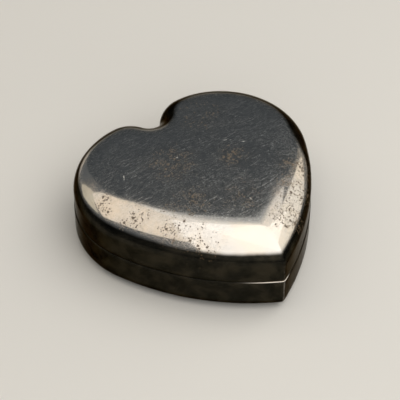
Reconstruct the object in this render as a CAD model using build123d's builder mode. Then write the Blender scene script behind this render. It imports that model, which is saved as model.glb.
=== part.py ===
"""Heart-shaped trinket box in pressed, silver-plated metal.

The base is a shallow pan with a rounded foot. A collar strip is soldered inside its wall
and stands above the seam, and the domed lid drops over that collar and lifts straight off.
Velvet-covered pads line the floor and the lid, a velvet-faced strip lines the wall, and a
felt heart under the base guards the table.

Frame: millimetres, origin on the table under the middle of the box, +Z up, the heart's
point towards -Y, its two lobes towards +Y, and its line of symmetry in the plane X = 0.
"""

import math
import os

from build123d import *

# ---- Heart outline, measured at the outside of the base ----
heart_width = 80.0
heart_length = 79.0
lobe_spacing = 24.0  # between the centres of the two lobes
flank_radius = 84.0  # the long side from the lobe to the point
cleft_depth = 6.8  # from the tops of the lobes down into the cleft
cleft_radius = 3.2  # at the bottom of the cleft
point_radius = 1.5  # upright edge at the heart's point

# ---- Heights above the table ----
overall_height = 28.4
seam_height = 12.8  # where the lid sits on the base

# ---- Base and lid pressings ----
base_wall = 0.9
foot_radius = 3.6  # outside of the rounded edge under the base
lid_wall = 0.8
lid_setback = 0.15  # the lid is this much smaller than the base all round
shoulder_radius = 7.0  # outside of the lid's rounded shoulder
crown_rise = 1.6  # how far the top rises from a side of the heart to its middle
rim_ease = 0.25  # rounding of the two rims that meet at the seam

# ---- Collar strip inside the base ----
collar_thickness = 0.7
collar_stand = 3.5  # above the seam
collar_depth = 5.0  # below the seam, soldered to the wall
collar_joggle = 0.5  # height of the step that sets its upper half inwards
lid_clearance = 0.25  # between the collar and the inside of the lid

# ---- Linings and felt ----
board_thickness = 1.0  # card under the floor pad and in the lid pad
strip_thickness = 0.8  # card strip round the wall
wadding_thickness = 1.5
velvet_thickness = 0.7
lining_gap = 0.1  # slack between a lining and the piece beside it
lining_drop = 0.8  # the wall lining stops this far below the collar's edge
lid_pad_lift = 2.6  # top of the lid pad, above the start of the lid's shoulder
felt_thickness = 0.8
felt_margin = 2.0  # flat metal showing round the felt

# ---- Arc centres of the right half of the outline; the left half mirrors them ----
lobe_outer_radius = (heart_width - lobe_spacing) / 2
lobe_to_cleft = ((lobe_spacing / 2) ** 2 + cleft_depth**2) / (2 * cleft_depth)
lobe_inner_radius = lobe_to_cleft - cleft_radius  # the lobe's turn down into the cleft
point = Vector(0, -heart_length / 2)
outer_centre = Vector(lobe_spacing / 2, heart_length / 2 - lobe_outer_radius)
inner_centre = Vector(lobe_spacing / 2, heart_length / 2 - lobe_inner_radius)
cleft_centre = Vector(0, heart_length / 2 - cleft_depth + cleft_radius)

# The flank's arc passes through the point and runs smoothly into the lobe's outer arc.
point_to_lobe = outer_centre - point
span = point_to_lobe.length
along = (flank_radius**2 - (flank_radius - lobe_outer_radius) ** 2 + span**2) / (2 * span)
across = math.sqrt(flank_radius**2 - along**2)
forward = point_to_lobe.normalized()
flank_centre = point + forward * along + Vector(-forward.Y, forward.X) * across

# ---- Heights and insets that follow from the sizes above ----
base_underside = felt_thickness
base_floor = base_underside + base_wall
collar_outer = lid_setback + lid_wall + lid_clearance  # inset of the collar's upper half
collar_inner = collar_outer + collar_thickness
collar_top = seam_height + collar_stand

dome_radius = ((heart_width / 2) ** 2 + crown_rise**2) / (2 * crown_rise)
dome_centre = overall_height - dome_radius
outline_reach = outer_centre.length + lobe_outer_radius  # furthest outline point from X = Y = 0
shoulder_start = dome_centre + math.sqrt(dome_radius**2 - outline_reach**2) - shoulder_radius

strip_outer = collar_inner + lining_gap
strip_inner = strip_outer + strip_thickness
lining_inner = strip_inner + velvet_thickness
lining_top = collar_top - lining_drop
strip_top = lining_top - velvet_thickness
foot_inside = foot_radius - base_wall
strip_reach = foot_inside - (strip_outer - base_wall)  # how far the strip is off the flat floor
strip_foot = base_floor + foot_inside - math.sqrt(foot_inside**2 - strip_reach**2) + lining_gap

floor_pad_inset = max(lining_inner, foot_radius) + lining_gap
floor_pad_top = base_floor + board_thickness + wadding_thickness + velvet_thickness

shoulder_inside = shoulder_radius - lid_wall
skin_inset = shoulder_inside - math.sqrt(shoulder_inside**2 - lid_pad_lift**2)
lid_skin_inset = lid_setback + lid_wall + skin_inset  # inside of the lid beside its pad
lid_pad_inset = max(lid_skin_inset, lining_inner) + lining_gap
lid_pad_top = shoulder_start + lid_pad_lift
lid_pad_bottom = lid_pad_top - board_thickness - wadding_thickness - velvet_thickness

felt_inset = foot_radius + felt_margin
spare = 1.0  # how far a cutting block runs past what it cuts


def heart(inset, point_round=0.0):
    """A flat heart: the outline moved inwards by inset all round, its point rounded."""
    cleft_bottom = cleft_centre - Vector(0, cleft_radius + inset)
    to_cleft = (cleft_centre - inner_centre).normalized()
    to_flank = (outer_centre - flank_centre).normalized()
    flank = flank_radius - inset
    cleft_end = inner_centre + to_cleft * (lobe_inner_radius - inset)
    lobe_top = inner_centre + Vector(0, lobe_inner_radius - inset)
    flank_start = flank_centre + to_flank * flank
    flank_end = Vector(0, flank_centre.Y - math.sqrt(flank**2 - flank_centre.X**2))
    with BuildSketch() as outline:
        with BuildLine():
            cleft_arc = TangentArc(cleft_bottom, cleft_end, tangent=(1, 0))
            inner_arc = TangentArc(cleft_end, lobe_top, tangent=cleft_arc % 1)
            outer_arc = TangentArc(lobe_top, flank_start, tangent=inner_arc % 1)
            TangentArc(flank_start, flank_end, tangent=outer_arc % 1)
            mirror(about=Plane.YZ)
        make_face()
        if point_round > 0:
            fillet(outline.vertices().sort_by(Axis.Y)[0], point_round)
    return outline.sketch


def heart_block(inset, bottom, top):
    """An upright heart between two heights."""
    with BuildPart() as block:
        with BuildSketch(Plane.XY.offset(bottom)):
            add(heart(inset, point_radius - inset))
        extrude(amount=top - bottom)
    return block.part


def heart_band(outer, inner, bottom, top):
    """A heart-shaped band, open in the middle, between two insets and two heights."""
    with BuildPart() as band:
        with BuildSketch(Plane.XY.offset(bottom)):
            add(heart(outer, point_radius - outer))
            add(heart(inner, point_radius - inner), mode=Mode.SUBTRACT)
        extrude(amount=top - bottom)
    return band.part


def round_the_point(form, inset):
    """The form with its sharp upright edge at the heart's point cut to a round one."""
    if inset >= point_radius:
        return form
    box = form.bounding_box()
    with BuildPart() as result:
        add(form)
        with BuildSketch(Plane.XY.offset(box.min.Z - spare)):
            add(heart(inset))
            add(heart(inset, point_radius - inset), mode=Mode.SUBTRACT)
        extrude(amount=box.size.Z + 2 * spare, mode=Mode.SUBTRACT)
    return result.part


def base_form(inset):
    """The base as a solid block with its rounded foot, drawn in by inset from the outside."""
    with BuildPart() as form:
        with BuildSketch(Plane.XY.offset(base_underside + inset)):
            add(heart(inset))
        extrude(amount=seam_height - base_underside - inset)
        fillet(form.faces().sort_by(Axis.Z)[0].edges(), foot_radius - inset)
    return round_the_point(form.part, inset)


def lid_form(inset):
    """The lid as a solid block, domed and rounded, drawn in by inset from the outside."""
    with BuildPart() as form:
        with BuildSketch(Plane.XY.offset(seam_height)):
            add(heart(lid_setback + inset))
        extrude(amount=overall_height - seam_height)
        with Locations((0, 0, dome_centre)):
            Sphere(dome_radius - inset, mode=Mode.INTERSECT)
        fillet(form.faces().sort_by(Axis.Z)[-1].edges(), shoulder_radius - inset)
    return round_the_point(form.part, lid_setback + inset)


# ---- Base pan: pressed from one sheet, open at the top ----
with BuildPart() as base_pan:
    add(base_form(0))
    add(base_form(base_wall), mode=Mode.SUBTRACT)
    fillet(base_pan.faces().sort_by(Axis.Z)[-1].outer_wire().edges(), rim_ease)
base_pan.part.label = "base_pan"

# ---- Collar: a bent strip, soldered low down and stepped inwards under the lid ----
with BuildPart() as base_collar:
    step_top = seam_height - collar_joggle
    step_bottom = step_top - collar_joggle
    lower_inner = base_wall + collar_thickness
    add(heart_band(base_wall, lower_inner, seam_height - collar_depth, step_top))
    add(heart_band(base_wall, collar_inner, step_bottom, step_top))
    add(heart_band(collar_outer, collar_inner, step_bottom, collar_top))
    top_face = base_collar.faces().sort_by(Axis.Z)[-1]
    fillet(top_face.outer_wire().edges(), rim_ease)
base_collar.part.label = "base_collar"

# ---- Lid: pressed from one sheet, domed, open underneath ----
with BuildPart() as lid_shell:
    add(lid_form(0))
    add(lid_form(lid_wall), mode=Mode.SUBTRACT)
    fillet(lid_shell.faces().sort_by(Axis.Z)[0].outer_wire().edges(), rim_ease)
lid_shell.part.label = "lid_shell"

# ---- Floor pad: card, wadding, and velvet drawn over both ----
wadding_bottom = base_floor + board_thickness
cover_underside = wadding_bottom + wadding_thickness
floor_core_inset = floor_pad_inset + velvet_thickness

with BuildPart() as floor_board:
    add(heart_block(floor_core_inset, base_floor, wadding_bottom))
floor_board.part.label = "floor_board"

with BuildPart() as floor_wadding:
    add(heart_block(floor_core_inset, wadding_bottom, cover_underside))
floor_wadding.part.label = "floor_wadding"

with BuildPart() as floor_velvet:
    add(heart_block(floor_pad_inset, base_floor, floor_pad_top))
    add(heart_block(floor_core_inset, base_floor, cover_underside), mode=Mode.SUBTRACT)
floor_velvet.part.label = "floor_velvet"

# ---- Wall lining: card strip with velvet on its face and over its top edge ----
with BuildPart() as wall_strip:
    add(heart_band(strip_outer, strip_inner, strip_foot, strip_top))
wall_strip.part.label = "wall_strip"

with BuildPart() as wall_velvet:
    add(heart_band(strip_inner, lining_inner, strip_foot, lining_top))
    add(heart_band(strip_outer, lining_inner, strip_top, lining_top))
wall_velvet.part.label = "wall_velvet"

# ---- Lid pad: the floor pad turned over, held up inside the lid ----
lid_board_bottom = lid_pad_top - board_thickness
lid_cover_top = lid_board_bottom - wadding_thickness
lid_core_inset = lid_pad_inset + velvet_thickness

with BuildPart() as lid_board:
    add(heart_block(lid_core_inset, lid_board_bottom, lid_pad_top))
lid_board.part.label = "lid_board"

with BuildPart() as lid_wadding:
    add(heart_block(lid_core_inset, lid_cover_top, lid_board_bottom))
lid_wadding.part.label = "lid_wadding"

with BuildPart() as lid_velvet:
    add(heart_block(lid_pad_inset, lid_pad_bottom, lid_pad_top))
    add(heart_block(lid_core_inset, lid_cover_top, lid_pad_top), mode=Mode.SUBTRACT)
lid_velvet.part.label = "lid_velvet"

# ---- Felt: glued under the flat of the base ----
with BuildPart() as base_felt:
    add(heart_block(felt_inset, 0, felt_thickness))
base_felt.part.label = "base_felt"

os.makedirs("parts", exist_ok=True)
for piece in (
    base_pan,
    base_collar,
    base_felt,
    floor_board,
    floor_wadding,
    floor_velvet,
    wall_strip,
    wall_velvet,
    lid_shell,
    lid_board,
    lid_wadding,
    lid_velvet,
):
    export_step(piece.part, f"parts/{piece.part.label}.step")
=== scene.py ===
import math

import bmesh
import bpy
import numpy as np
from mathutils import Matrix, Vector, noise


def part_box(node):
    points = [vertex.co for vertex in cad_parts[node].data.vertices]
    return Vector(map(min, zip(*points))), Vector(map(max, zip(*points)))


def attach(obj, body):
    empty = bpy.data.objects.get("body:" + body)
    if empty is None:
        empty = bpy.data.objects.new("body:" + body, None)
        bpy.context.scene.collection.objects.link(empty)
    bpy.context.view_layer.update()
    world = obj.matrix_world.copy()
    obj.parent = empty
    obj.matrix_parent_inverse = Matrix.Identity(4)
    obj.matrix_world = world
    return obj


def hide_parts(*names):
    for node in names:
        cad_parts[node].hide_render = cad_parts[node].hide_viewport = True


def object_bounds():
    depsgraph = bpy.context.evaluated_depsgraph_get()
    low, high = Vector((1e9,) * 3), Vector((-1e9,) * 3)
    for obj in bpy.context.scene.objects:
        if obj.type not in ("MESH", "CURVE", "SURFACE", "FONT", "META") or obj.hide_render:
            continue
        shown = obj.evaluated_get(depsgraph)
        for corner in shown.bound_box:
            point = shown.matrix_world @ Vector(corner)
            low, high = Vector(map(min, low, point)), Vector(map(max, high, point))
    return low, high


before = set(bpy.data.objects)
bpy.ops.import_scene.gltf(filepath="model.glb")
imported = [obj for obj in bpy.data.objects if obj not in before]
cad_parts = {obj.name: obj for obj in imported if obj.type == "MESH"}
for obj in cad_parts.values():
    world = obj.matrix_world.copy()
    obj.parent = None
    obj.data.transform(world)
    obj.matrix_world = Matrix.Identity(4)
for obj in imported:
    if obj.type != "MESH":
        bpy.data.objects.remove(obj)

cad_low, cad_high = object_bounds()

# ==== The photographer's table and lights ====
# A pale matt tabletop under softboxes that hang in one plane: white ones to the right of the
# lens, beige ones to its left and a large one over the photographer. They are edge to edge
# or overlap, so that the polished shoulder mirrors one bright band. The room is dim.
middle = Vector(((cad_low.x + cad_high.x) / 2, (cad_low.y + cad_high.y) / 2, 0))
lens_azimuth = math.radians(-34.8)
lens_elevation = math.radians(46.5)
lens_right = Vector((math.cos(lens_azimuth), math.sin(lens_azimuth), 0))
lens_side = Vector((math.sin(lens_azimuth), -math.cos(lens_azimuth), 0))
bpy.context.scene.view_settings.view_transform = "Standard"

bpy.ops.mesh.primitive_plane_add(size=4, location=(0, 0, cad_low.z))
table_top = bpy.context.object
table_top.name = "table_top"

table_paint = bpy.data.materials.new("table_paint")
table_paint.use_nodes = True
table_coat = table_paint.node_tree.nodes["Principled BSDF"].inputs
table_coat["Base Color"].default_value = (0.82, 0.81, 0.79, 1)
table_coat["Roughness"].default_value = 0.75
table_coat["Specular IOR Level"].default_value = 0.2
table_top.data.materials.append(table_paint)

room = bpy.data.worlds.new("room")
room.use_nodes = True
room_light = room.node_tree.nodes["Background"].inputs
room_light["Color"].default_value = (0.88, 0.95, 1.0, 1)
room_light["Strength"].default_value = 0.12
bpy.context.scene.world = room


def softbox(name, across, towards, width, depth, turn, colour, brightness):
    """A rectangular lamp facing straight down. across and towards place it as seen from the
    lens, and they and its size are in heights above the table; turn is in degrees, and
    brightness is what the metal sees of it."""
    hang = 0.75
    lamp = bpy.data.lights.new(name, "AREA")
    lamp.shape = "RECTANGLE"
    lamp.size = width * hang
    lamp.size_y = depth * hang
    lamp.color = colour
    lamp.energy = brightness * math.pi * lamp.size * lamp.size_y
    place = middle + (lens_right * across + lens_side * towards) * hang
    holder = bpy.data.objects.new(name, lamp)
    holder.location = (place.x, place.y, hang)
    holder.rotation_euler = (0, 0, lens_azimuth + math.radians(turn))
    bpy.context.scene.collection.objects.link(holder)


white = (1.0, 0.96, 0.89)
cream = (1.0, 0.95, 0.87)
softbox("main_softbox", 0.77, 0.34, 1.15, 1.9, 23, white, 1.25)
softbox("main_corner", 0.17, 0.61, 0.95, 1.7, -8, white, 1.1)
softbox("softbox_edge", 0.24, -0.60, 0.92, 0.24, 23, cream, 0.75)
softbox("right_softbox", 2.86, -2.06, 6.0, 1.6, 49, (1.0, 0.93, 0.80), 0.85)
softbox("softbox_wing", -0.71, -0.14, 1.1, 0.95, -9, (1.0, 0.88, 0.72), 0.76)
softbox("left_softbox", -2.95, -1.43, 4.0, 1.02, -35, (1.0, 0.90, 0.68), 0.46)
softbox("front_softbox", 1.2, 3.1, 5.5, 3.2, 0, cream, 0.95)

# ==== Camera ====
# A long lens on a tall tripod, looking down on the left flank. It is aimed at half the box's
# height, a little to the left of its middle.
lens_distance = 0.54
aim_height = 0.0151
aim_left = 0.0037
aim = middle + Vector((0, 0, aim_height)) - lens_right * aim_left
lens_back = lens_side * math.cos(lens_elevation) + Vector((0, 0, math.sin(lens_elevation)))
camera = bpy.data.objects.new("camera", bpy.data.cameras.new("camera"))
camera.data.lens = 151.4
camera.data.sensor_width = 36
camera.location = aim + lens_back * lens_distance
camera.rotation_mode = "QUATERNION"
camera.rotation_quaternion = (-lens_back).to_track_quat("-Z", "Y")
bpy.context.scene.collection.objects.link(camera)
bpy.context.scene.camera = camera

# ==== Base pan ====
# The shallow lower half of the box, pressed from one sheet of metal, silver plated and
# polished. Its foot is rounded, and the polisher's wheel has eased its rim.
MM = 0.001
pan_low, pan_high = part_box("base_pan")
heart_width = pan_high.x - pan_low.x
heart_length = 79.0 * MM
lobe_spacing = 24.0 * MM
flank_radius = 84.0 * MM
cleft_depth = 6.8 * MM
cleft_radius = 3.2 * MM
point_radius = 1.5 * MM
# The point of a ring that is drawn in past point_radius still keeps this rounding.
least_round = 0.6 * MM

lobe_outer_radius = (heart_width - lobe_spacing) / 2
lobe_to_cleft = ((lobe_spacing / 2) ** 2 + cleft_depth**2) / (2 * cleft_depth)
lobe_inner_radius = lobe_to_cleft - cleft_radius
point = np.array([0, -heart_length / 2])
outer_centre = np.array([lobe_spacing / 2, heart_length / 2 - lobe_outer_radius])
inner_centre = np.array([lobe_spacing / 2, heart_length / 2 - lobe_inner_radius])
cleft_centre = np.array([0, heart_length / 2 - cleft_depth + cleft_radius])
to_lobe = outer_centre - point
span = np.hypot(*to_lobe)
along = (flank_radius**2 - (flank_radius - lobe_outer_radius) ** 2 + span**2) / (2 * span)
across = math.sqrt(flank_radius**2 - along**2)
forward = to_lobe / span
flank_centre = point + forward * along + np.array([-forward[1], forward[0]]) * across


def bearing(start, end):
    """The direction from one plan point to another, as an angle from +X."""
    return math.atan2(end[1] - start[1], end[0] - start[0])


def heart_ring(inset, point_round):
    """Evenly spread plan points round the heart drawn in by inset, its point rounded."""
    flank = flank_radius - inset
    reach = math.sqrt((flank - point_round) ** 2 - flank_centre[0] ** 2)
    round_centre = np.array([0, flank_centre[1] - reach])
    into_flank = bearing(flank_centre, outer_centre)
    into_round = bearing(flank_centre, round_centre)
    # Each arc of the right half is its centre, radius, start, end and number of steps.
    arcs = (
        (cleft_centre, cleft_radius + inset, -math.pi / 2, bearing(cleft_centre, inner_centre), 12),
        (inner_centre, lobe_inner_radius - inset, bearing(inner_centre, cleft_centre), math.pi / 2, 18),
        (outer_centre, lobe_outer_radius - inset, math.pi / 2, into_flank, 44),
        (flank_centre, flank, into_flank, into_round, 56),
        (round_centre, point_round, into_round, -math.pi / 2, 8),
    )
    half = []
    for centre, radius, start, end, steps in arcs:
        turn = np.linspace(start, end, steps, endpoint=False)
        half.append(centre + radius * np.column_stack([np.cos(turn), np.sin(turn)]))
    half.append([round_centre - np.array([0, point_round])])
    right = np.vstack(half)
    left = right[-2:0:-1] * np.array([-1, 1])
    return np.vstack([right, left])


def level(plan, height):
    """A plan ring lifted to a height, or to one height for each of its points."""
    return np.column_stack([plan, np.broadcast_to(height, len(plan))])


def skin(name, rings, closed=False):
    """A smooth mesh through rings of equal length, joined end to end or capped at both ends."""
    mesh = bpy.data.meshes.new(name)
    piece = bpy.data.objects.new(name, mesh)
    bpy.context.scene.collection.objects.link(piece)
    form = bmesh.new()
    rows = [[form.verts.new(corner) for corner in ring] for ring in rings]
    pairs = list(zip(rows, rows[1:]))
    if closed:
        pairs.append((rows[-1], rows[0]))
    for low, high in pairs:
        for k in range(len(low)):
            j = (k + 1) % len(low)
            form.faces.new((low[k], low[j], high[j], high[k]))
    if not closed:
        for row in (rows[0], rows[-1]):
            hub = form.verts.new(sum((v.co for v in row), Vector()) / len(row))
            for k in range(len(row)):
                form.faces.new((row[k], row[(k + 1) % len(row)], hub))
    bmesh.ops.recalc_face_normals(form, faces=form.faces)
    form.to_mesh(mesh)
    form.free()
    mesh.shade_smooth()
    return piece


def hand_worked(piece, wave, depth, seed):
    """The slight unevenness of sheet metal: waves of that length, depth high at most."""
    mesh = piece.data
    shifts = []
    for vertex in mesh.vertices:
        place = vertex.co / wave + Vector((seed, 0, 0))
        shifts.append(vertex.normal * noise.noise(place) * depth)
    for vertex, shift in zip(mesh.vertices, shifts):
        vertex.co += shift
    mesh.update()


base_wall = 0.9 * MM
foot_radius = 3.6 * MM
rim_ease = 0.25 * MM


def base_skin(inset):
    """Rings of one face of the pan's sheet, from the middle of its floor up to its rim."""
    radius = foot_radius - inset
    floor_ring = heart_ring(foot_radius, least_round)
    floor_level = pan_low.z + inset
    rings = [level(floor_ring * share, floor_level) for share in np.linspace(0.08, 1, 9)[:-1]]
    for lean in np.linspace(90, 0, 13):
        tilt = math.radians(lean)
        in_by = inset + radius * (1 - math.cos(tilt))
        plan = heart_ring(in_by, max(point_radius - in_by, least_round))
        rings.append(level(plan, floor_level + radius * (1 - math.sin(tilt))))
    foot = rings[-1]
    for share in np.linspace(0, 1, 7)[1:]:
        ring = foot.copy()
        ring[:, 2] += (pan_high.z - rim_ease - ring[:, 2]) * share
        rings.append(ring)
    return rings


pan_rim = []
for lean in (30, 60, 90):
    tilt = math.radians(lean)
    plan = heart_ring(rim_ease * (1 - math.cos(tilt)), point_radius)
    pan_rim.append(level(plan, pan_high.z - rim_ease * (1 - math.sin(tilt))))
pan_rim.append(level(heart_ring(base_wall, least_round), pan_high.z))
pan = skin("pan", base_skin(0) + pan_rim + base_skin(base_wall)[::-1])
hand_worked(pan, wave=14 * MM, depth=0.04 * MM, seed=3)
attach(pan, "base")
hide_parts("base_pan")


def put(tree, kind, sockets=None, **settings):
    """A shader node. Its sockets take a plain value, or what another node puts out."""
    made = tree.nodes.new("ShaderNode" + kind)
    for setting, value in settings.items():
        setattr(made, setting, value)
    for socket, value in (sockets or {}).items():
        if isinstance(value, bpy.types.NodeSocket):
            tree.links.new(value, made.inputs[socket])
        else:
            made.inputs[socket].default_value = value
    return made


def sums(tree, operation, *terms):
    """The result of a Math node."""
    return put(tree, "Math", dict(enumerate(terms)), operation=operation).outputs[0]


def times(tree, a, b):
    """a times b."""
    return sums(tree, "MULTIPLY", a, b)


def plus(tree, a, b):
    """a and b added together."""
    return sums(tree, "ADD", a, b)


def less(tree, a, b):
    """a less b."""
    return sums(tree, "SUBTRACT", a, b)


def larger(tree, a, b):
    """The larger of a and b."""
    return sums(tree, "MAXIMUM", a, b)


def fade(tree, value, start, end, low=0.0, high=1.0):
    """value carried smoothly from low at start to high at end."""
    sockets = {"Value": value, "From Min": start, "From Max": end, "To Min": low, "To Max": high}
    return put(tree, "MapRange", sockets, interpolation_type="SMOOTHSTEP").outputs["Result"]


def tint(tree, share, under, over):
    """Two colours blended by share, a Mix node's factor; 6 and 7 are its colour sockets."""
    return put(tree, "Mix", {0: share, 6: under, 7: over}, data_type="RGBA").outputs[2]


def vector(tree, operation, *terms):
    """The result of a Vector Math node, whether it is a vector or a value."""
    made = put(tree, "VectorMath", dict(enumerate(terms)), operation=operation)
    gives_value = operation in ("DOT_PRODUCT", "DISTANCE", "LENGTH")
    return made.outputs["Value" if gives_value else "Vector"]


def mapped(tree, place, **sockets):
    """A place turned, stretched or moved by a Mapping node."""
    return put(tree, "Mapping", {"Vector": place, **sockets}).outputs[0]


def raised(tree, height, strength, distance):
    """The surface bumped by a height from 0 to 1, where 1 is distance metres high."""
    return put(tree, "Bump", {"Height": height, "Strength": strength, "Distance": distance}).outputs[0]


def cloud(tree, place, scale, detail=3.0, rough=0.55, offset=(0, 0, 0)):
    """Soft noise from 0 to 1 over a place in millimetres."""
    moved = vector(tree, "ADD", place, offset)
    sockets = {"Vector": moved, "Scale": scale, "Detail": detail, "Roughness": rough}
    return put(tree, "TexNoise", sockets).outputs["Fac"]


def effect(name, takes, gives):
    """An empty shader group with named sockets, each given as (name, kind, value)."""
    tree = bpy.data.node_groups.new(name, "ShaderNodeTree")
    for label, kind, value in takes:
        socket = tree.interface.new_socket(label, in_out="INPUT", socket_type="NodeSocket" + kind)
        if value is not None:
            socket.default_value = value
    for label, kind in gives:
        tree.interface.new_socket(label, in_out="OUTPUT", socket_type="NodeSocket" + kind)
    return tree, tree.nodes.new("NodeGroupInput").outputs, tree.nodes.new("NodeGroupOutput").inputs


def use(tree, group, **sockets):
    """A group placed in a material, its sockets named with spaces as underscores."""
    made = put(tree, "Group", node_tree=group)
    for label, value in sockets.items():
        socket = made.inputs[label.replace("_", " ")]
        if isinstance(value, bpy.types.NodeSocket):
            tree.links.new(value, socket)
        else:
            socket.default_value = value
    return made.outputs


def paint(name):
    """A new material: its tree, its Principled shader, and its place in millimetres."""
    material = bpy.data.materials.new(name)
    material.use_nodes = True
    tree = material.node_tree
    here = put(tree, "TexCoord").outputs["Object"]
    place = put(tree, "VectorMath", {0: here, "Scale": 1 / MM}, operation="SCALE").outputs[0]
    return material, tree, tree.nodes["Principled BSDF"], place


# Rubbing marks: long thin hairs in a few directions, each broken along its length. Width is
# a hair's share of the noise that it is cut from, and Cover how much of the metal has them.
rubbing, rub_in, rub_out = effect(
    "rubbing",
    [("Place", "Vector", None), ("Width", "Float", 0.03), ("Cover", "Float", 0.5)],
    [("Marks", "Float")],
)
bend = put(rubbing, "TexNoise", {"Vector": rub_in["Place"], "Scale": 0.045, "Detail": 1.0})
bend = put(rubbing, "VectorMath", {0: bend.outputs["Color"], "Scale": 6.0}, operation="SCALE")
bent = vector(rubbing, "ADD", rub_in["Place"], bend.outputs[0])
patch_edge = less(rubbing, 0.85, times(rubbing, rub_in["Cover"], 0.6))
marks = 0.0
# Each direction is in degrees, with how close together its hairs lie.
for turn, spread in ((8, 1.5), (28, 2.3), (64, 1.9), (98, 2.6), (141, 1.7), (166, 2.9)):
    direction = (0, 0, math.radians(turn))
    grain = mapped(rubbing, bent, Rotation=direction, Scale=(0.04, spread, spread))
    lines = cloud(rubbing, grain, 1.0, 0.0, 0.5, (turn, 0, 0))
    off_line = sums(rubbing, "ABSOLUTE", less(rubbing, lines, 0.5))
    hair = fade(rubbing, off_line, rub_in["Width"], 0.0)
    patches = cloud(rubbing, rub_in["Place"], 0.16, 2.0, 0.6, (0, turn, 0))
    kept = fade(rubbing, patches, patch_edge, plus(rubbing, patch_edge, 0.12))
    marks = larger(rubbing, marks, times(rubbing, hair, kept))
rubbing.links.new(marks, rub_out["Marks"])

# Pitting: where the plate has gone through, small ragged pits crowd into clusters. Grain is
# the room that each pit has, in millimetres, and Crowd the share of places that hold one.
pitting, pit_in, pit_out = effect(
    "pitting",
    [("Place", "Vector", None), ("Grain", "Float", 0.8), ("Crowd", "Float", 0.5)],
    [("Pits", "Float")],
)
ragged = cloud(pitting, pit_in["Place"], 2.6, 2.0, 0.6)
per_grain = sums(pitting, "DIVIDE", 1.0, pit_in["Grain"])
cells = put(pitting, "TexVoronoi", {"Vector": pit_in["Place"], "Scale": per_grain})
sizes = put(pitting, "SeparateColor", {0: cells.outputs["Color"]}).outputs[0]
chance = less(pitting, pit_in["Crowd"], sizes)
reach = times(pitting, fade(pitting, chance, 0.0, 0.3), 0.6)
away = plus(pitting, cells.outputs["Distance"], times(pitting, ragged, 0.3))
away = less(pitting, away, 0.15)
pits = fade(pitting, less(pitting, reach, away), 0.0, 0.14)
pitting.links.new(pits, pit_out["Pits"])

# The side of the plan turned away from the lens, which is where the lobes are, a little more
# on the right than on the left. Tarnish and haze are painted further over the shoulder there
# as painted shade, because that side mirrors no lamp towards the lens.
away_from_lens = (0.571, 0.821, 0)


def spots(tree, place, centres):
    """How near a place is to any of the centres (x, y, z, reach, strength), in millimetres."""
    near = 0.0
    for x, y, z, reach, strength in centres:
        apart = vector(tree, "DISTANCE", place, (x, y, z))
        near = larger(tree, near, fade(tree, apart, reach, 0.0, 0.0, strength))
    return near


def haze_and_shade_mask(tree, place, mottle, starts, full):
    """The dull haze of the flat top: none below the height starts, all above full. Its grey is
    partly painted shade for the dim room that the top mirrors, and its lower edge ends the
    bright band of mirrored lamps. The crown is taken out of the height first, and the haze
    comes further down on the side turned away from the lens, as painted shade there."""
    crown_fall = 0.001
    lower_on_far_side = 2.0
    height = put(tree, "SeparateXYZ", {0: place}).outputs["Z"]
    plan = vector(tree, "MULTIPLY", place, (1, 1, 0))
    uncrowned = times(tree, vector(tree, "DOT_PRODUCT", plan, plan), crown_fall)
    height = plus(tree, plus(tree, height, uncrowned), times(tree, mottle, 0.25))
    to_far_side = vector(tree, "DOT_PRODUCT", place, away_from_lens)
    height = plus(tree, height, fade(tree, to_far_side, -8.0, 16.0, 0.0, lower_on_far_side))
    return fade(tree, height, starts, full)


def tarnish_and_shade_mask(tree, place, drift, bright_above, dark_below, seam_height):
    """Black tarnish on the walls, partly painted shade for the dark that the polished walls
    mirror: none above one height, all below another, and higher on the side turned away from
    the lens. It is taken off along the seam at the point, and here and there on the point's
    edge, leaving bare silver as painted highlights."""
    higher_on_far_side = 2.1
    tip = -heart_length / 2 / MM
    axes = put(tree, "SeparateXYZ", {0: place}).outputs
    to_far_side = vector(tree, "DOT_PRODUCT", place, away_from_lens)
    climb = fade(tree, to_far_side, 6.0, 24.0, 0.0, higher_on_far_side)
    settled = less(tree, plus(tree, axes["Z"], times(tree, drift, 0.6)), climb)
    tarnish_and_shade = fade(tree, settled, bright_above, dark_below)

    # Painted highlights: bare silver along the seam near the point and up the point's edge, standing in
    # for the rims catching the light.
    near_point = fade(tree, axes["Y"], tip + 9.5, tip + 1.0)
    near_point = times(tree, near_point, fade(tree, axes["X"], 4.0, 0.5))
    off_seam = sums(tree, "ABSOLUTE", less(tree, axes["Z"], seam_height))
    at_seam = fade(tree, off_seam, 0.28, 0.05)
    seam_highlight = times(tree, at_seam, fade(tree, near_point, 0.0, 1.0, 0.0, 0.9))

    point_edge_highlight = fade(tree, sums(tree, "ABSOLUTE", axes["X"]), 0.5, 0.1)
    point_edge_highlight = times(tree, point_edge_highlight, fade(tree, axes["Y"], tip + 2.0, tip + 0.6))
    in_parts = fade(tree, cloud(tree, place, 0.35, 2.0, 0.5), 0.42, 0.62, 0.0, 0.2)
    painted_highlights = larger(tree, seam_highlight, times(tree, point_edge_highlight, in_parts))
    return times(tree, tarnish_and_shade, less(tree, 1.0, painted_highlights))


def graze_mask(tree, place, mottle, grazes):
    """Short bright scrapes on the lid's top, each (x, y, length, turn) in millimetres and
    degrees."""
    lid_top = 28
    grazed = 0.0
    for x, y, size, turn in grazes:
        sockets = {
            "Vector": place,
            "Location": (x, y, lid_top),
            "Rotation": (0, 0, math.radians(turn)),
            "Scale": (size, size * 0.14, 90),
        }
        moved = put(tree, "Mapping", sockets, vector_type="TEXTURE").outputs[0]
        mark = fade(tree, vector(tree, "LENGTH", moved), 1.0, 0.5)
        grazed = larger(tree, grazed, times(tree, mark, fade(tree, mottle, 0.45, 0.6)))
    return grazed


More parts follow.
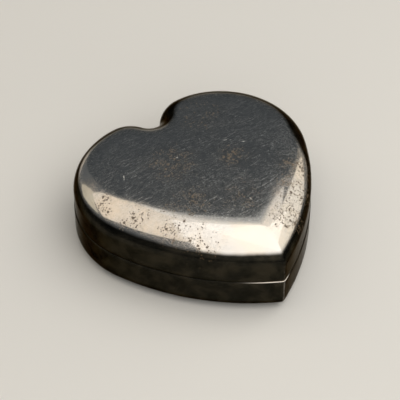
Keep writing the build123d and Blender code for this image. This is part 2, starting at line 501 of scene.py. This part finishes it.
def plated(name, bright_above, dark_below, seam_height, haze_and_shade_above, clusters, grazes):
    """Old silver plate: bright where it is polished, hazy and hair-scratched where it was
    rubbed with dry cloth, black with tarnish low down, and pitted in clusters. The grey of
    the haze and the black of the tarnish are partly painted shade, and where they end they
    bound the shoulder's bright band; the bare silver at the seam and edge of the point is a
    painted highlight. Heights and places are in millimetres; the pair of haze heights is where
    the haze starts and where it is full."""
    material, tree, shader, place = paint(name)
    drift = cloud(tree, place, 0.09, 3.0, 0.6)
    mottle = cloud(tree, place, 0.9, 6.0, 0.7, (7, 3, 1))
    haze_and_shade = haze_and_shade_mask(tree, place, mottle, *haze_and_shade_above)
    tarnish_and_shade = tarnish_and_shade_mask(tree, place, drift, bright_above, dark_below, seam_height)
    grazed = times(tree, graze_mask(tree, place, mottle, grazes), haze_and_shade)

    hairs = use(tree, rubbing, Place=place, Width=0.008, Cover=0.75)["Marks"]
    closer = mapped(tree, place, Location=(31, 0, 0), Scale=(2.2, 2.2, 2.2))
    fine = use(tree, rubbing, Place=closer, Width=0.008, Cover=0.85)["Marks"]
    scratched = larger(tree, hairs, fine)

    patchy = fade(tree, cloud(tree, place, 0.28, 3.0, 0.6, (2, 9, 4)), 0.35, 0.62, 0.3, 1.0)
    crowd = times(tree, times(tree, spots(tree, place, clusters), patchy), 1.5)
    holes = use(tree, pitting, Place=place, Grain=0.95, Crowd=times(tree, crowd, 0.7))["Pits"]
    specks = use(tree, pitting, Place=place, Grain=0.45, Crowd=plus(tree, crowd, 0.03))["Pits"]
    pits = larger(tree, holes, specks)

    # Colour: silver, then haze that is partly painted shade, stains, tarnish that is partly
    # painted shade with painted highlights left at the point, rust in the pits and the scrapes
    # on top.
    silver = tint(tree, fade(tree, drift, 0.35, 0.65), (0.88, 0.80, 0.71, 1), (0.82, 0.78, 0.74, 1))
    # The haze's grey is darker than silver partly as painted shade, for the dim room the top mirrors.
    dull, pale = (0.32, 0.325, 0.325, 1), (0.54, 0.535, 0.515, 1)
    hazed_and_shaded = tint(tree, fade(tree, mottle, 0.3, 0.7), dull, pale)
    hazed_and_shaded = tint(tree, times(tree, scratched, 0.55), hazed_and_shaded, (0.72, 0.72, 0.71, 1))
    colour = tint(tree, haze_and_shade, silver, hazed_and_shaded)
    stained = times(tree, crowd, fade(tree, mottle, 0.4, 0.65, 0.1, 0.55))
    colour = tint(tree, stained, colour, (0.31, 0.235, 0.15, 1))
    # The walls' near-black is partly painted shade: polished silver would mirror the pale table.
    blackness_mottle = fade(tree, cloud(tree, place, 0.2, 4.0, 0.6, (4, 4, 4)), 0.35, 0.7)
    black_tarnish_and_shade = tint(tree, blackness_mottle, (0.008, 0.008, 0.006, 1), (0.030, 0.026, 0.018, 1))
    black_tarnish_and_shade = tint(tree, times(tree, scratched, 0.35), black_tarnish_and_shade, (0.13, 0.12, 0.10, 1))
    colour = tint(tree, tarnish_and_shade, colour, black_tarnish_and_shade)
    rust = tint(tree, mottle, (0.055, 0.035, 0.018, 1), (0.15, 0.10, 0.055, 1))
    colour = tint(tree, times(tree, pits, 0.82), colour, rust)
    colour = tint(tree, times(tree, grazed, 0.8), colour, (0.95, 0.94, 0.9, 1))

    # Roughness: the polish, dulled by haze, hairs, tarnish, pits and scrapes.
    gloss = fade(tree, haze_and_shade, 0.0, 1.0, 0.06, 0.09)
    gloss = plus(tree, gloss, fade(tree, mottle, 0.35, 0.75, -0.01, 0.04))
    gloss = plus(tree, gloss, times(tree, hairs, fade(tree, haze_and_shade, 0.0, 1.0, 0.08, 0.2)))
    gloss = plus(tree, gloss, times(tree, fine, fade(tree, haze_and_shade, 0.0, 1.0, 0.02, 0.14)))
    gloss = larger(tree, gloss, times(tree, tarnish_and_shade, 0.22))
    gloss = larger(tree, gloss, times(tree, pits, 0.7))
    gloss = larger(tree, gloss, times(tree, grazed, 0.6))

    # Relief: pits, hairs and scrapes cut into a faintly uneven skin.
    relief = less(tree, times(tree, mottle, 0.03), times(tree, pits, 0.5))
    relief = less(tree, relief, times(tree, hairs, 0.3))
    relief = less(tree, relief, times(tree, grazed, 0.8))
    tree.links.new(colour, shader.inputs["Base Color"])
    tree.links.new(less(tree, 1.0, times(tree, pits, 0.75)), shader.inputs["Metallic"])
    tree.links.new(gloss, shader.inputs["Roughness"])
    tree.links.new(raised(tree, relief, 0.35, 0.05 * MM), shader.inputs["Normal"])
    shader.inputs["Specular Tint"].default_value = (0.42, 0.39, 0.35, 1)
    return material


seam = pan_high.z / MM
# The pan lies wholly below dark_below, so it is all black, partly as painted shade, apart from the
# painted highlights at the point.
pan_plate = plated(
    "base_plate",
    bright_above=seam + 6,
    dark_below=seam + 5,
    seam_height=seam,
    haze_and_shade_above=(seam + 6, seam + 7),
    clusters=((-30, -6, 6, 7, 0.3), (6, -36, 7, 6, 0.3), (20, 34, 6, 8, 0.35), (-39, 20, 5, 7, 0.3)),
    grazes=(),
)
pan.data.materials.append(pan_plate)

# ==== Collar ====
# A strip of plated sheet bent to the heart and soldered inside the pan's wall. Its upper
# half steps inwards and stands above the seam, where the lid slides down over it.
collar_low, collar_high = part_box("base_collar")
collar_wall = 0.7 * MM
collar_step = 0.5 * MM
ease = 0.1 * MM
lead_in = 0.25 * MM
collar_inset = (heart_width - (collar_high.x - collar_low.x)) / 2
stand_inset = 1.2 * MM
step_top = pan_high.z - collar_step
step_low = step_top - collar_step
collar_profile = (
    (collar_inset, collar_low.z),
    (collar_inset, step_low),
    (collar_inset, step_top - ease),
    (collar_inset + ease, step_top),
    (stand_inset, step_top + 0.05 * MM),
    (stand_inset, pan_high.z + 0.4 * MM),
    (stand_inset, collar_high.z - lead_in),
    (stand_inset + 0.08 * MM, collar_high.z - 0.07 * MM),
    (stand_inset + lead_in, collar_high.z),
    (stand_inset + collar_wall - ease, collar_high.z),
    (stand_inset + collar_wall, collar_high.z - ease),
    (stand_inset + collar_wall, step_low + ease),
    (collar_inset + collar_wall, step_low - 2 * ease),
    (collar_inset + collar_wall, collar_low.z),
)
collar_rings = []
for inset, height in collar_profile:
    plan = heart_ring(inset, max(point_radius - inset, 0.3 * MM))
    collar_rings.append(level(plan, height))
collar = skin("collar", collar_rings, closed=True)
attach(collar, "base")
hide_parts("base_collar")

collar_plate, tree, shader, place = paint("collar_plate")
toning = cloud(tree, place, 0.12, 4.0, 0.6)
speckle = cloud(tree, place, 2.2, 4.0, 0.7, (3, 0, 0))
upright = mapped(tree, place, Scale=(1.4, 1.4, 0.08))
slid = use(tree, rubbing, Place=upright, Width=0.07, Cover=0.8)["Marks"]
bright = tint(tree, fade(tree, toning, 0.35, 0.65), (0.86, 0.82, 0.75, 1), (0.72, 0.62, 0.46, 1))
bright = tint(tree, fade(tree, speckle, 0.6, 0.75, 0.0, 0.6), bright, (0.30, 0.22, 0.14, 1))
tree.links.new(bright, shader.inputs["Base Color"])
rough = plus(tree, fade(tree, toning, 0.3, 0.7, 0.16, 0.3), times(tree, slid, 0.2))
tree.links.new(rough, shader.inputs["Roughness"])
relief = raised(tree, less(tree, speckle, slid), 0.25, 0.03 * MM)
tree.links.new(relief, shader.inputs["Normal"])
shader.inputs["Metallic"].default_value = 1
collar.data.materials.append(collar_plate)

# ==== Floor pad ====
# Card cut to the heart, a layer of wadding on it, and midnight blue velvet drawn over both
# and glued underneath. The pad is pushed down between the lining and rests on the pan.
pad_low, pad_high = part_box("floor_velvet")
velvet_wall = 0.7 * MM
pad_inset = (heart_width - (pad_high.x - pad_low.x)) / 2


def pad_form(name, inset, flat_side, full_side, crown, seed):
    """A layer of a padded heart, flat on one side and filled out on the other, drawn tight
    over the card's edge and dipping a little here and there between. The card holds its
    lower part still."""
    away = 1 if full_side > flat_side else -1
    thick = abs(full_side - flat_side)
    edge = 4.0 * MM
    roll = (thick - crown) * 0.75
    top_round = 3.0 * MM
    rings = []
    flat_plan = heart_ring(inset + 0.35 * MM, least_round)
    for share in np.linspace(0.06, 1, 9):
        rings.append(level(flat_plan * share, flat_side))
    tucked = heart_ring(inset + 0.08 * MM, least_round)
    rings.append(level(tucked, flat_side + away * 0.2 * MM))
    shoulder = flat_side + away * (thick - crown - roll)
    rings.append(level(heart_ring(inset, least_round), (flat_side + shoulder) / 2))
    for lean in np.linspace(0, 90, 15):
        tilt = math.radians(lean)
        point_round = least_round + (top_round - least_round) * (lean / 90)
        plan = heart_ring(inset + edge * (1 - math.cos(tilt)), point_round)
        rings.append(level(plan, shoulder + away * roll * math.sin(tilt)))
    top_plan = rings[-1][:, :2]
    top_edge = rings[-1][0, 2]
    for share in np.linspace(0.95, 0.05, 19):
        rings.append(level(top_plan * share, top_edge + away * crown * (1 - share**2)))
    piece = skin(name, rings)

    dip_wave, dip_depth = 11 * MM, 0.26 * MM
    crease_wave, crease_depth = 4.5 * MM, 0.12 * MM
    held_share = 0.3
    for vertex in piece.data.vertices:
        up = (vertex.co.z - flat_side) * away / thick
        if up > held_share:
            spot = vertex.co / dip_wave + Vector((seed, 2, 0))
            dip = max(0.0, 0.5 + noise.noise(spot)) * dip_depth
            folded = Vector((vertex.co.x, vertex.co.y * 1.6, 0)) / crease_wave
            crease = abs(noise.noise(folded)) * crease_depth
            vertex.co.z -= away * (dip + crease) * min(1.0, (up - held_share) * 2)
    piece.data.update()
    return piece


floor_pad = pad_form("floor_pad", pad_inset, pad_low.z, pad_high.z, crown=0.5 * MM, seed=3)
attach(floor_pad, "base")
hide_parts("floor_velvet")

velvet, tree, shader, place = paint("velvet")
nap = cloud(tree, place, 0.16, 3.0, 0.6)
brushed = mapped(tree, place, Scale=(0.35, 1.0, 1.0))
crushed = cloud(tree, brushed, 0.8, 4.0, 0.65, (5, 5, 0))
pile = cloud(tree, place, 9.0, 2.0, 0.7)
blue = tint(tree, fade(tree, nap, 0.35, 0.65), (0.008, 0.010, 0.045, 1), (0.020, 0.026, 0.100, 1))
blue = tint(tree, fade(tree, crushed, 0.5, 0.75, 0.0, 0.7), blue, (0.045, 0.055, 0.17, 1))
blue = tint(tree, fade(tree, pile, 0.4, 0.75, 0.0, 0.5), blue, (0.05, 0.06, 0.19, 1))
tree.links.new(blue, shader.inputs["Base Color"])
tree.links.new(fade(tree, nap, 0.3, 0.7, 0.82, 0.96), shader.inputs["Roughness"])
fur = plus(tree, times(tree, crushed, 0.8), times(tree, pile, 0.5))
tree.links.new(raised(tree, fur, 0.6, 0.25 * MM), shader.inputs["Normal"])
shader.inputs["Sheen Weight"].default_value = 0.3
shader.inputs["Sheen Roughness"].default_value = 0.35
shader.inputs["Sheen Tint"].default_value = (0.35, 0.40, 0.75, 1)
floor_pad.data.materials.append(velvet)

# The card and the wadding inside the pad show only where the velvet would be lifted.
card, tree, shader, place = paint("pasteboard")
pulp = cloud(tree, mapped(tree, place, Scale=(0.4, 1.6, 1.6)), 1.6, 5.0, 0.7)
fleck = cloud(tree, place, 4.5, 2.0, 0.5, (6, 1, 0))
brown = tint(tree, fade(tree, pulp, 0.3, 0.7), (0.36, 0.29, 0.21, 1), (0.50, 0.42, 0.31, 1))
brown = tint(tree, fade(tree, fleck, 0.66, 0.74), brown, (0.16, 0.12, 0.09, 1))
tree.links.new(brown, shader.inputs["Base Color"])
tree.links.new(fade(tree, pulp, 0.3, 0.7, 0.78, 0.92), shader.inputs["Roughness"])
tree.links.new(raised(tree, pulp, 0.4, 0.08 * MM), shader.inputs["Normal"])

cotton, tree, shader, place = paint("cotton_wadding")
tuft = cloud(tree, place, 0.9, 6.0, 0.7)
strand = cloud(tree, mapped(tree, place, Scale=(0.3, 2.4, 1.0)), 1.5, 4.0, 0.7)
fluff = tint(tree, fade(tree, tuft, 0.3, 0.7), (0.70, 0.67, 0.60, 1), (0.86, 0.84, 0.79, 1))
tree.links.new(fluff, shader.inputs["Base Color"])
tree.links.new(fade(tree, strand, 0.3, 0.7, 0.85, 1.0), shader.inputs["Roughness"])
relief = raised(tree, plus(tree, tuft, strand), 0.7, 0.3 * MM)
tree.links.new(relief, shader.inputs["Normal"])


def dress(node, material):
    """A piece kept as it was designed, given its own material."""
    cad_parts[node].data.materials.clear()
    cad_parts[node].data.materials.append(material)


puff_low, puff_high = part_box("floor_wadding")
puff_inset = pad_inset + 1.1 * velvet_wall
floor_puff = pad_form("floor_puff", puff_inset, puff_low.z, puff_high.z, crown=0.3 * MM, seed=3)
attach(floor_puff, "base")
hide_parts("floor_wadding")
floor_puff.data.materials.append(cotton)
dress("floor_board", card)

# ==== Wall lining ====
# A strip of card round the inside of the pan and collar, faced with the same velvet, which
# is folded over the card's top edge. It is held by its own spring and a line of glue.
strip_low, strip_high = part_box("wall_strip")
lining_low, lining_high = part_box("wall_velvet")
strip_inset = (heart_width - (strip_high.x - strip_low.x)) / 2
strip_wall = 0.8 * MM
turn_over = strip_high.z + 0.02 * MM
face_inset = strip_inset + strip_wall + velvet_wall
lining_round = 0.5 * MM
half_way = (lining_low.z + lining_high.z) / 2
lining_profile = (
    (strip_inset + strip_wall, lining_low.z),
    (face_inset - 0.15 * MM, lining_low.z),
    (face_inset, lining_low.z + 0.2 * MM),
    (face_inset, half_way),
    (face_inset, lining_high.z - 1.6 * MM),
    (face_inset, lining_high.z - 0.5 * MM),
    (face_inset - 0.18 * MM, lining_high.z - 0.14 * MM),
    (face_inset - 0.5 * MM, lining_high.z),
    (strip_inset + 0.5 * MM, lining_high.z),
    (strip_inset + 0.12 * MM, lining_high.z - 0.16 * MM),
    (strip_inset, lining_high.z - 0.4 * MM),
    (strip_inset, turn_over),
    (strip_inset + strip_wall, turn_over),
    (strip_inset + strip_wall, half_way),
)
lining_rings = [level(heart_ring(inset, lining_round), z) for inset, z in lining_profile]
lining = skin("wall_lining", lining_rings, closed=True)
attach(lining, "base")
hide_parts("wall_velvet")

# The strip of velvet is as long as the way round it and as wide as its height and turn-over.
lining.data.materials.append(velvet)
dress("wall_strip", card)

# ==== Lid ====
# The upper half of the box, pressed from one sheet of plated metal, domed on top and open
# underneath. Its walls are drawn straight down, and its bottom rim is eased by the wheel.
lid_low, lid_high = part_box("lid_shell")
lid_wall = 0.8 * MM
lid_setback = (heart_width - (lid_high.x - lid_low.x)) / 2
crown_rise = 1.6 * MM
shoulder_height = 7.0 * MM
lobe_shoulder = 10.3 * MM
flank_shoulder = 14.0 * MM
crown_radius = ((heart_width / 2) ** 2 + crown_rise**2) / (2 * crown_rise)
valley_depth = 1.1 * MM
valley_reach = 11.0 * MM
valley_narrowing = 1.25
point_softening = 0.04


def lid_plan(step):
    """The lid's outline drawn in by step, with the rounding of its point growing."""
    return heart_ring(lid_setback + step, point_radius + point_softening * step)


# The shoulder is broader along the flanks than round the tops of the lobes.
broadens_from = 16 * MM
broadens_over = 24 * MM
down_flank = np.clip((broadens_from - lid_plan(0)[:, 1]) / broadens_over, 0, 1)
broadness = down_flank**2 * (3 - 2 * down_flank)
shoulder_width = lobe_shoulder + (flank_shoulder - lobe_shoulder) * broadness
plan_steps = np.linspace(0, flank_shoulder, 29)
plan_table = np.array([lid_plan(step) for step in plan_steps])


def drawn_in(steps):
    """The lid's outline with each of its points drawn in by its own step."""
    plan = np.empty((len(steps), 2))
    for k, step in enumerate(steps):
        for axis in (0, 1):
            plan[k, axis] = np.interp(step, plan_steps, plan_table[:, k, axis])
    return plan


def lid_skin(inset):
    """Rings of one face of the lid's sheet, from the middle of its top down to its rim."""
    width = shoulder_width - inset
    drop = shoulder_height - inset

    def crown(plan):
        sink = crown_radius - np.sqrt(crown_radius**2 - (plan**2).sum(axis=1))
        aside = plan[:, 0] * valley_narrowing
        from_cleft = np.hypot(aside, plan[:, 1] - cleft_centre[1]) / valley_reach
        sink += valley_depth * np.exp(-(from_cleft**2))
        return lid_high.z - inset - sink

    rings = []
    plateau = drawn_in(shoulder_width)
    for share in np.linspace(0.04, 1, 24)[:-1]:
        rings.append(level(plateau * share, crown(plateau * share)))
    for lean in np.linspace(90, 0, 31):
        tilt = math.radians(lean)
        ring = drawn_in(inset + width * (1 - math.cos(tilt)))
        rings.append(level(ring, crown(ring) - drop * (1 - math.sin(tilt))))
    top_of_wall = rings[-1]
    for share in np.linspace(0, 1, 9)[1:]:
        ring = top_of_wall.copy()
        ring[:, 2] += (lid_low.z + rim_ease - ring[:, 2]) * share
        rings.append(ring)
    return rings


lid_rim = []
for lean in (30, 60, 90):
    tilt = math.radians(lean)
    ring = heart_ring(lid_setback + rim_ease * (1 - math.cos(tilt)), point_radius)
    lid_rim.append(level(ring, lid_low.z + rim_ease * (1 - math.sin(tilt))))
lid_rim.append(level(heart_ring(lid_setback + lid_wall, point_radius), lid_low.z))
lid = skin("lid", lid_skin(0) + lid_rim + lid_skin(lid_wall)[::-1])
hand_worked(lid, wave=12 * MM, depth=0.05 * MM, seed=8)
hand_worked(lid, wave=4.5 * MM, depth=0.01 * MM, seed=5)
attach(lid, "lid")
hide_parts("lid_shell")

# These heights bound the shoulder's bright band: the black below and the grey above are partly painted
# shade.
lid_plate = plated(
    "lid_plate",
    bright_above=24.7,
    dark_below=23.6,
    seam_height=seam,
    haze_and_shade_above=(28.3, 28.5),
    clusters=(
        (-34, 9, 25, 6, 0.62),
        (-29, -1, 25, 9, 0.56),
        (-22, -12, 25, 11, 0.5),
        (-18, -20, 24, 12, 0.4),
        (-20, -6, 27, 9, 0.36),
        (-8, 10, 28, 13, 0.5),
        (-12, -7, 28, 12, 0.46),
        (9, 2, 28, 9, 0.5),
        (2, -14, 28, 12, 0.42),
        (24, -12, 25, 11, 0.55),
        (17, -20, 25, 11, 0.6),
        (9, -28, 25, 10, 0.6),
        (12, 24, 28, 16, 0.28),
    ),
    grazes=(
        (-5, 11.6, 1.4, 20),
        (5.2, 14.5, 1.2, 70),
        (3.2, -16, 1.5, 95),
        (12, 9, 2.2, -30),
        (15, 6, 2.6, -25),
        (-24, 14, 1.6, 60),
    ),
)
lid.data.materials.append(lid_plate)

# ==== Lid pad ====
# A second padded heart, made like the one on the floor and pressed up into the lid, where
# it grips by its edge against the curve of the shoulder.
roof_low, roof_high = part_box("lid_velvet")
roof_inset = (heart_width - (roof_high.x - roof_low.x)) / 2
lid_pad = pad_form("lid_pad", roof_inset, roof_high.z, roof_low.z, crown=0.5 * MM, seed=9)
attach(lid_pad, "lid")
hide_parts("lid_velvet")
lid_pad.data.materials.append(velvet)
puff_low, puff_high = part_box("lid_wadding")
puff_inset = roof_inset + 1.1 * velvet_wall
lid_puff = pad_form("lid_puff", puff_inset, puff_high.z, puff_low.z, crown=0.3 * MM, seed=9)
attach(lid_puff, "lid")
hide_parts("lid_wadding")
lid_puff.data.materials.append(cotton)
dress("lid_board", card)

# ==== Felt ====
# A heart cut from dark wool felt and glued under the flat of the pan, so that the metal
# foot doesn't mark the table. Its cut edge is soft and a little uneven.
felt_low, felt_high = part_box("base_felt")
felt_inset = (heart_width - (felt_high.x - felt_low.x)) / 2
felt_plan = heart_ring(felt_inset + 0.25 * MM, least_round)
felt_edge = heart_ring(felt_inset, least_round)
felt_rings = [level(felt_plan * share, felt_low.z) for share in np.linspace(0.06, 1, 12)]
felt_rings.append(level(felt_edge, felt_low.z + 0.2 * MM))
felt_rings.append(level(felt_edge, felt_high.z - 0.15 * MM))
felt_rings.extend(level(felt_plan * share, felt_high.z) for share in np.linspace(1, 0.06, 12))
felt = skin("felt", felt_rings)
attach(felt, "base")
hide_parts("base_felt")

wool, tree, shader, place = paint("wool_felt")
matted = cloud(tree, place, 1.4, 6.0, 0.75)
fibre = cloud(tree, mapped(tree, place, Scale=(1.0, 5.0, 2.0)), 1.3, 4.0, 0.7)
dark_wool = tint(tree, fade(tree, matted, 0.3, 0.7), (0.022, 0.030, 0.026, 1), (0.055, 0.068, 0.060, 1))
dark_wool = tint(tree, fade(tree, fibre, 0.62, 0.75, 0.0, 0.6), dark_wool, (0.12, 0.13, 0.12, 1))
tree.links.new(dark_wool, shader.inputs["Base Color"])
tree.links.new(fade(tree, matted, 0.3, 0.7, 0.88, 1.0), shader.inputs["Roughness"])
relief = raised(tree, plus(tree, matted, fibre), 0.6, 0.2 * MM)
tree.links.new(relief, shader.inputs["Normal"])
shader.inputs["Sheen Weight"].default_value = 0.25
felt.data.materials.append(wool)
